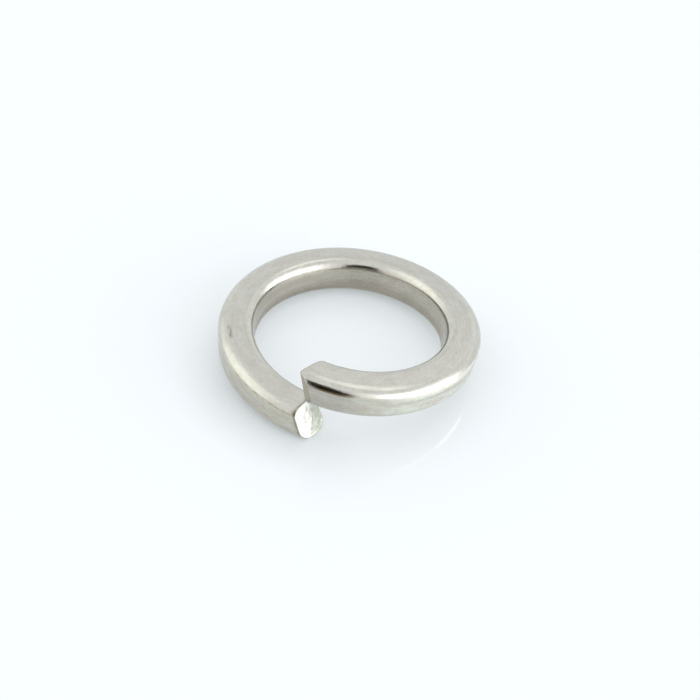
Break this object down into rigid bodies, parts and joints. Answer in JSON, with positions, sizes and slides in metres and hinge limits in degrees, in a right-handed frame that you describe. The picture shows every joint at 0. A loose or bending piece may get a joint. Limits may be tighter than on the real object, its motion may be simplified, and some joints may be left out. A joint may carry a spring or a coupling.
{
  "type": "spring lock washer",
  "caption": "Split spring lock washer of square section with rounded corners, coiled left-handed and cropped at a slant, to go under a screw head or nut.",
  "frame": {"origin": "on the bore's axis, level with the lowest edge of the lower end", "axes": "+Z along the bore's axis, from the lower end's side to the upper end's, -Y through the split, and the coil rises clockwise as seen from +Z"},
  "size_m": [0.0176, 0.0176, 0.0057],
  "materials": {
    "stainless": "satin, drawn stainless wire"
  },
  "bodies": {
    "root": {"spring_washer": "stainless"}
  },
  "joints": []
}
